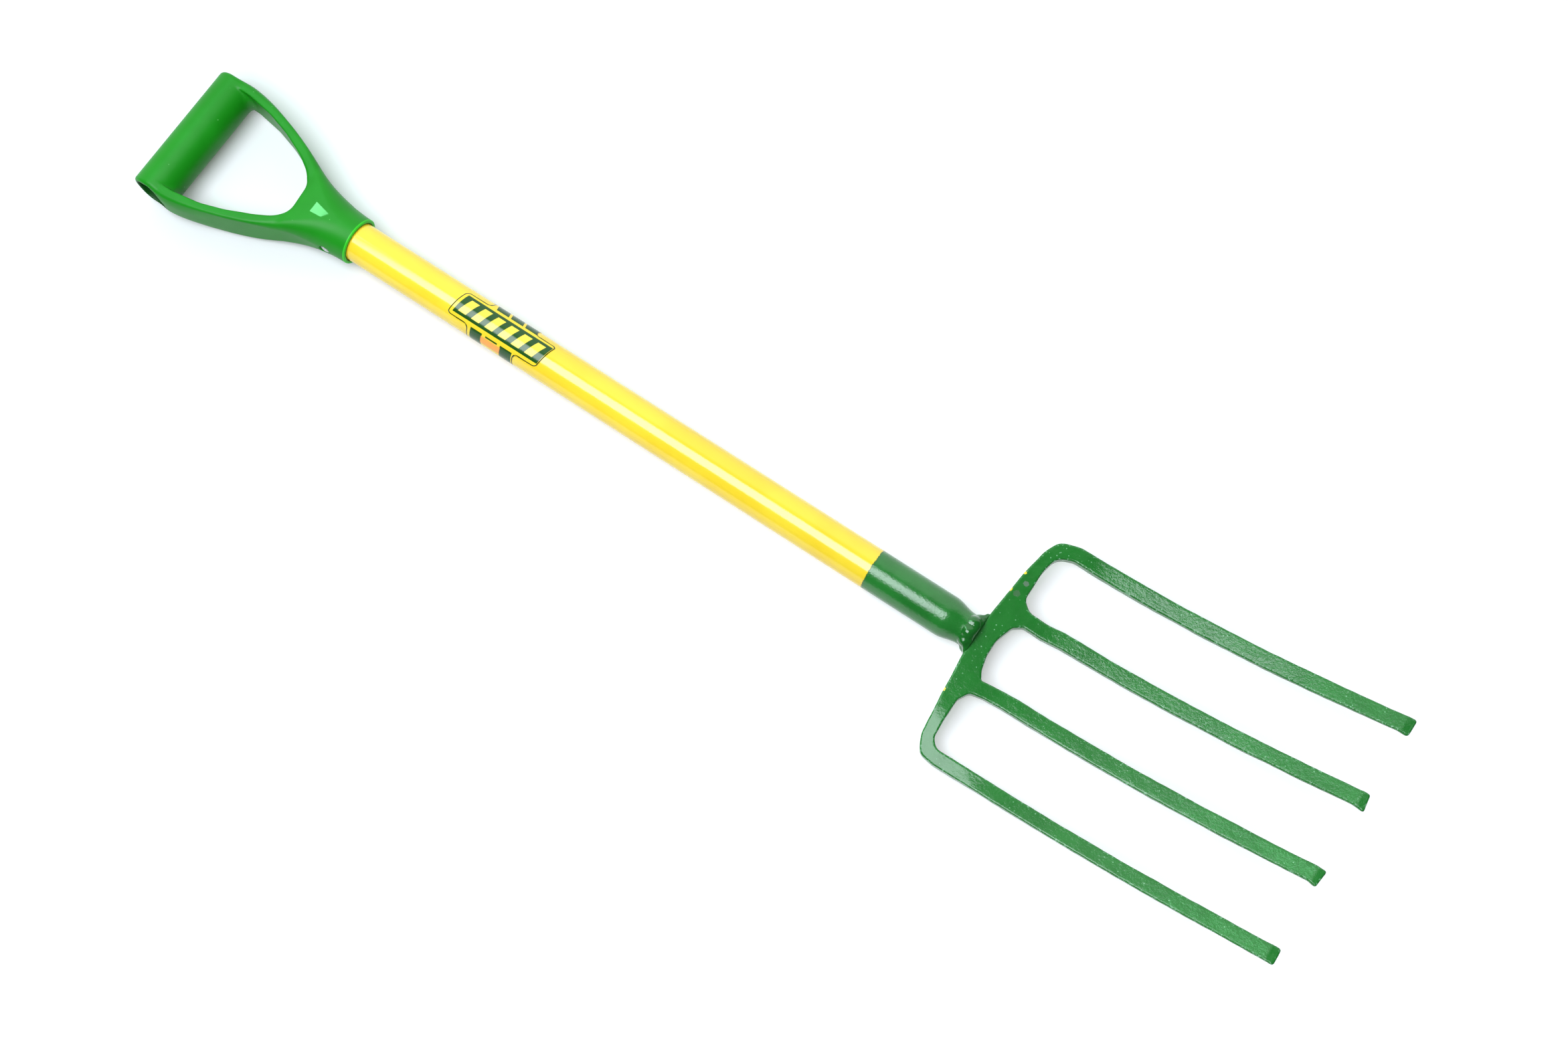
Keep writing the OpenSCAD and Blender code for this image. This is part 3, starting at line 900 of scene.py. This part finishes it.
def make_label():
    """A thin film wrapped round the tube and cut to its own outline."""
    shape = label_shape()
    fine = np.arange(label_low[0], label_high[0] + 0.01, 0.02)
    rows = []
    for s in np.arange(-29.45, 33.45, 0.3):
        inside = fine[shape(fine, s) < 0]
        if len(inside):
            rows.append((s, inside[0], inside[-1]))
    columns = 75
    points = []
    for layer in (TUBE_R + FILM_THICK, TUBE_R + 0.02):
        for s, x0, x1 in rows:
            w = s / TUBE_R
            for x in np.linspace(x0, x1, columns):
                points.append((x, layer * math.sin(w), layer * math.cos(w)))
    count = len(rows)
    faces = []
    under = count * columns
    for i in range(count - 1):
        for j in range(columns - 1):
            a = i * columns + j
            quad = (a, a + columns, a + columns + 1, a + 1)
            faces.append(quad[::-1])
            faces.append(tuple(v + under for v in quad))
    rim = list(range(columns)) + [(i + 1) * columns - 1 for i in range(1, count)]
    rim += [(count - 1) * columns + j for j in range(columns - 2, -1, -1)]
    rim += [i * columns for i in range(count - 2, 0, -1)]
    for a, b in zip(rim, rim[1:] + rim[:1]):
        faces.append((b, a, a + under, b + under))
    points = np.array(points)
    piece = add_piece("shaft_label_film", points, np.array(faces), label_film(), "shaft_label")
    around = np.arctan2(points[:, 1], points[:, 2])
    around = np.where(around > math.pi * 0.95, around - 2 * math.pi, around) * TUBE_R
    add_values(piece, "edge", -shape(points[:, 0], around))


# ---- Floor, light and camera ----
# Lights and their places are in metres and watts, and the camera's aim is in millimetres.

SOFTBOX = {
    "place": (-0.38, -0.47, 1.57),
    "aim": (-0.3, 0.0, 0.0),
    "size": (1.36, 1.12),
    "power": 44,
    "colour": (0.87, 0.95, 1),
}
SIDE_BOX = {
    "place": (-1.35, 0.36, 1.57),
    "aim": (-0.37, 0.0, 0.0),
    "size": (0.2, 0.62),
    "power": 5.7,
    "colour": (0.3, 1, 0.46),
}
PALE_SIDE = (-0.5, 0.8, 0)
ROOM_DARK = (0.05, 0.055, 0.065, 1)
ROOM_PALE = (0.9, 0.95, 0.98, 1)
ROOM_STRENGTH = 1.3

FLOOR_HALF = 6.0

CAMERA_AIM = (563.6, -7.6, 0)
CAMERA_AWAY = 1.481
CAMERA_FROM = (0.1713, -0.2168, 0.9611)
CAMERA_UP = (-0.5303, 0.8018, 0.2754)
CAMERA_SENSOR = 36
CAMERA_LENS = 45.87
CAMERA_REACH = 20


def floor_paint():
    """Pale and matt. It glows a little, and most at the head's end, where the photo is whitest."""
    m = Nodes("pale_floor")
    colour = m.mix(m.noise(400, 2), FLOOR_PALE, FLOOR_PALER)
    glow = m.blend(m.band(m.split(m.place)["X"], 350, 1250), 0.28, 0.8)
    return m.finish(
        Base_Color=colour, Roughness=0.7, Emission_Color=colour, Emission_Strength=glow
    )


def make_floor():
    """The fork lies on the socket's rim and on the tube's lower end, and the floor touches both."""
    material = floor_paint()
    near, far = SOCKET_END - 1, SWAGE_X
    tilt = math.atan2(SOCKET_R - TUBE_R, far - near)
    mesh = bpy.data.meshes.new("floor")
    corners = [(x, y, 0) for x, y in ((-1, -1), (1, -1), (1, 1), (-1, 1))]
    corners = [(x * FLOOR_HALF, y * FLOOR_HALF, z) for x, y, z in corners]
    mesh.from_pydata(corners, [], [(0, 1, 2, 3)])
    mesh.materials.append(material)
    floor = bpy.data.objects.new("floor", mesh)
    bpy.context.scene.collection.objects.link(floor)
    rim = to_frame((near, 0, -SOCKET_R))
    floor.matrix_world = Matrix.Translation(Vector(rim)) @ Matrix.Rotation(-tilt, 4, "Y")


def area_light(name, place, aim, size, power, colour):
    light = bpy.data.lights.new(name, "AREA")
    light.shape = "RECTANGLE"
    light.size, light.size_y = size
    light.energy = power
    light.color = colour
    lamp = bpy.data.objects.new(name, light)
    lamp.location = place
    lamp.rotation_mode = "QUATERNION"
    lamp.rotation_quaternion = (Vector(aim) - Vector(place)).to_track_quat("-Z", "Y")
    bpy.context.scene.collection.objects.link(lamp)


def light_studio():
    """A softbox overhead, and a room that is pale on the far side and dark on the near side.

    The side box makes the pale glint in the worn patch on the yoke.
    """
    world = bpy.data.worlds.new("studio")
    bpy.context.scene.world = world
    world.use_nodes = True
    tree = world.node_tree
    background = tree.nodes["Background"]
    way = tree.nodes.new("ShaderNodeTexCoord").outputs["Generated"]
    dot = tree.nodes.new("ShaderNodeVectorMath")
    dot.operation = "DOT_PRODUCT"
    dot.inputs[1].default_value = PALE_SIDE
    tree.links.new(way, dot.inputs[0])
    ramp = tree.nodes.new("ShaderNodeValToRGB")
    dark, pale = ramp.color_ramp.elements
    dark.position, dark.color = 0.26, ROOM_DARK
    pale.position, pale.color = 0.46, ROOM_PALE
    tree.links.new(dot.outputs["Value"], ramp.inputs["Fac"])
    tree.links.new(ramp.outputs["Color"], background.inputs["Color"])
    background.inputs["Strength"].default_value = ROOM_STRENGTH
    area_light("softbox", **SOFTBOX)
    area_light("side_box", **SIDE_BOX)


def make_camera():
    """Above the fork and to the near side of its head, with the shaft running down to the right."""
    towards = Vector(CAMERA_FROM).normalized()
    right = Vector(CAMERA_UP).cross(towards).normalized()
    up = towards.cross(right)
    data = bpy.data.cameras.new("camera")
    data.sensor_width = CAMERA_SENSOR
    data.lens = CAMERA_LENS
    data.clip_end = CAMERA_REACH
    camera = bpy.data.objects.new("camera", data)
    place = Vector(to_frame(CAMERA_AIM)) + towards * CAMERA_AWAY
    turn = Matrix((right, up, towards)).transposed().to_4x4()
    camera.matrix_world = Matrix.Translation(place) @ turn
    bpy.context.scene.collection.objects.link(camera)
    bpy.context.scene.camera = camera


make_camera()
make_floor()
light_studio()
bpy.context.scene.view_settings.view_transform = "Standard"

make_handle()
make_rivet()
make_tube()
forged_paint = head_paint()
make_head(forged_paint)
make_spigot(forged_paint)
make_weld()
make_label()
